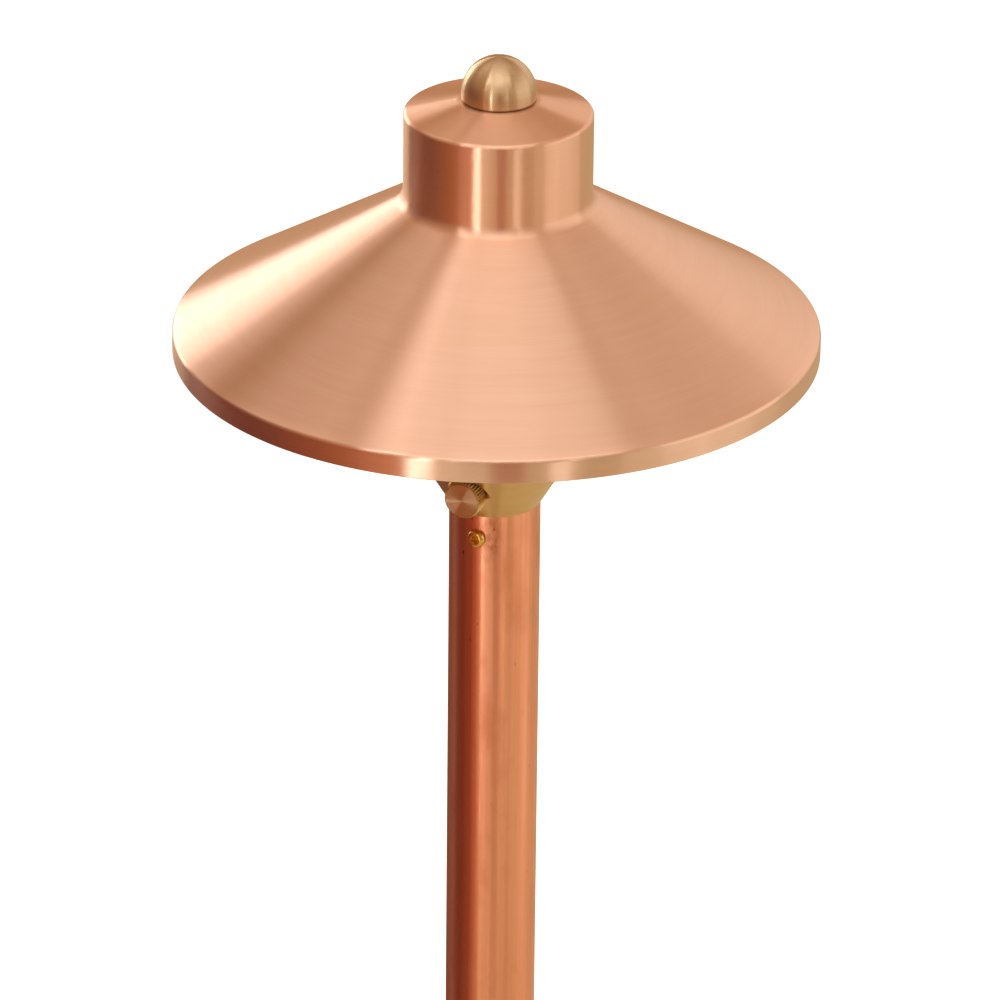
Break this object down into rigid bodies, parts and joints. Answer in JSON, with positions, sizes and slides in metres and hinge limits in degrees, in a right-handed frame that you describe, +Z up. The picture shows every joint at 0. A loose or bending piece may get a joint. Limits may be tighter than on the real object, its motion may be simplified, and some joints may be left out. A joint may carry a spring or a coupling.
{
  "type": "path light",
  "caption": "Garden path light: spun conical metal hat with a domed finial, flared hub with a knurled thumbscrew, glass-enclosed lamp, tube stem and ground stake.",
  "frame": {"origin": "on the stem's axis at the ground line, which is the underside of the stake's flange", "axes": "+Z up along the stem, -Y towards the side with the thumbscrew, +X to the right as seen from there"},
  "size_m": [0.2, 0.2, 0.7597],
  "materials": {
    "hat_copper": "spun copper, satin brushed round the axis",
    "stem_copper": "plain drawn copper tube with handling stains",
    "brass": "turned brass, satin",
    "finial_brass": "turned brass, satin",
    "thumb_brass": "turned and knurled brass",
    "screw_brass": "bright brass",
    "rod_brass": "threaded brass rod",
    "contact_brass": "sprung brass sleeve",
    "steel": "nickel-plated steel",
    "tungsten": "drawn tungsten wire",
    "stake_plastic": "moulded black plastic",
    "rubber": "moulded black rubber",
    "silicone": "translucent white silicone",
    "fibre": "red vulcanised fibre",
    "lead_insulation": "heat-proof woven sleeve",
    "connector_plastic": "nylon crimp cap",
    "steatite": "unglazed steatite",
    "frosted_glass": "frosted borosilicate glass",
    "quartz": "clear quartz"
  },
  "bodies": {
    "post": {"ground_stake": "stake_plastic", "base_fitting": "brass", "base_screw": "screw_brass", "lead_grommet": "rubber", "stem_tube": "stem_copper", "hub": "brass", "hub_screw": "screw_brass", "lamp_socket": "steatite", "socket_screws": "steel", "socket_contacts": "contact_brass", "socket_leads": "lead_insulation", "lead_connectors": "connector_plastic"},
    "lift_ring": {"holder_oring": "rubber"},
    "head": {"lens_holder": "brass", "lower_gasket": "silicone", "lens": "frosted_glass", "upper_gasket": "silicone", "lens_cap": "brass", "tie_rods": "rod_brass", "tie_rod_nuts": "rod_brass", "hat_bolt": "rod_brass", "hat_spacer": "brass", "hat_washer": "brass", "hat": "hat_copper"},
    "finial_carrier": {"finial_washer": "rubber"},
    "finial_nut": {"finial": "finial_brass"},
    "thumbscrew_carrier": {"thumbscrew_washer": "fibre"},
    "thumbscrew_body": {"thumbscrew": "thumb_brass"},
    "lamp": {"lamp_capsule": "quartz", "lamp_filament": "tungsten", "lamp_pins": "steel"}
  },
  "joints": [
    {"name": "head_lift", "type": "slide", "parent": "post", "child": "lift_ring", "axis": [0, 0, 1], "range_m": [0, 0.06]},
    {"name": "head_turn", "type": "hinge", "parent": "lift_ring", "child": "head", "pos_m": [0, 0, 0.4335], "axis": [0, 0, 1], "continuous": true},
    {"name": "finial_travel", "type": "slide", "parent": "head", "child": "finial_carrier", "axis": [0, 0, 1], "range_m": [0, 0.006]},
    {"name": "finial_turn", "type": "hinge", "parent": "finial_carrier", "child": "finial_nut", "pos_m": [0, 0, 0.5459], "axis": [0, 0, 1], "range_deg": [0, 2160]},
    {"name": "thumbscrew_travel", "type": "slide", "parent": "post", "child": "thumbscrew_carrier", "axis": [-0.4147, -0.91, 0], "range_m": [0, 0.0032]},
    {"name": "thumbscrew_turn", "type": "hinge", "parent": "thumbscrew_carrier", "child": "thumbscrew_body", "pos_m": [-0.00829, -0.0182, 0.4214], "axis": [-0.4147, -0.91, 0], "range_deg": [0, 1440]},
    {"name": "lamp_pull", "type": "slide", "parent": "post", "child": "lamp", "axis": [0, 0, 1], "range_m": [0, 0.008]}
  ],
  "couplings": [
    {"joint": "finial_travel", "follows": "finial_turn", "m_per_rad": 0.00015915},
    {"joint": "thumbscrew_travel", "follows": "thumbscrew_turn", "m_per_rad": 0.00012637}
  ]
}
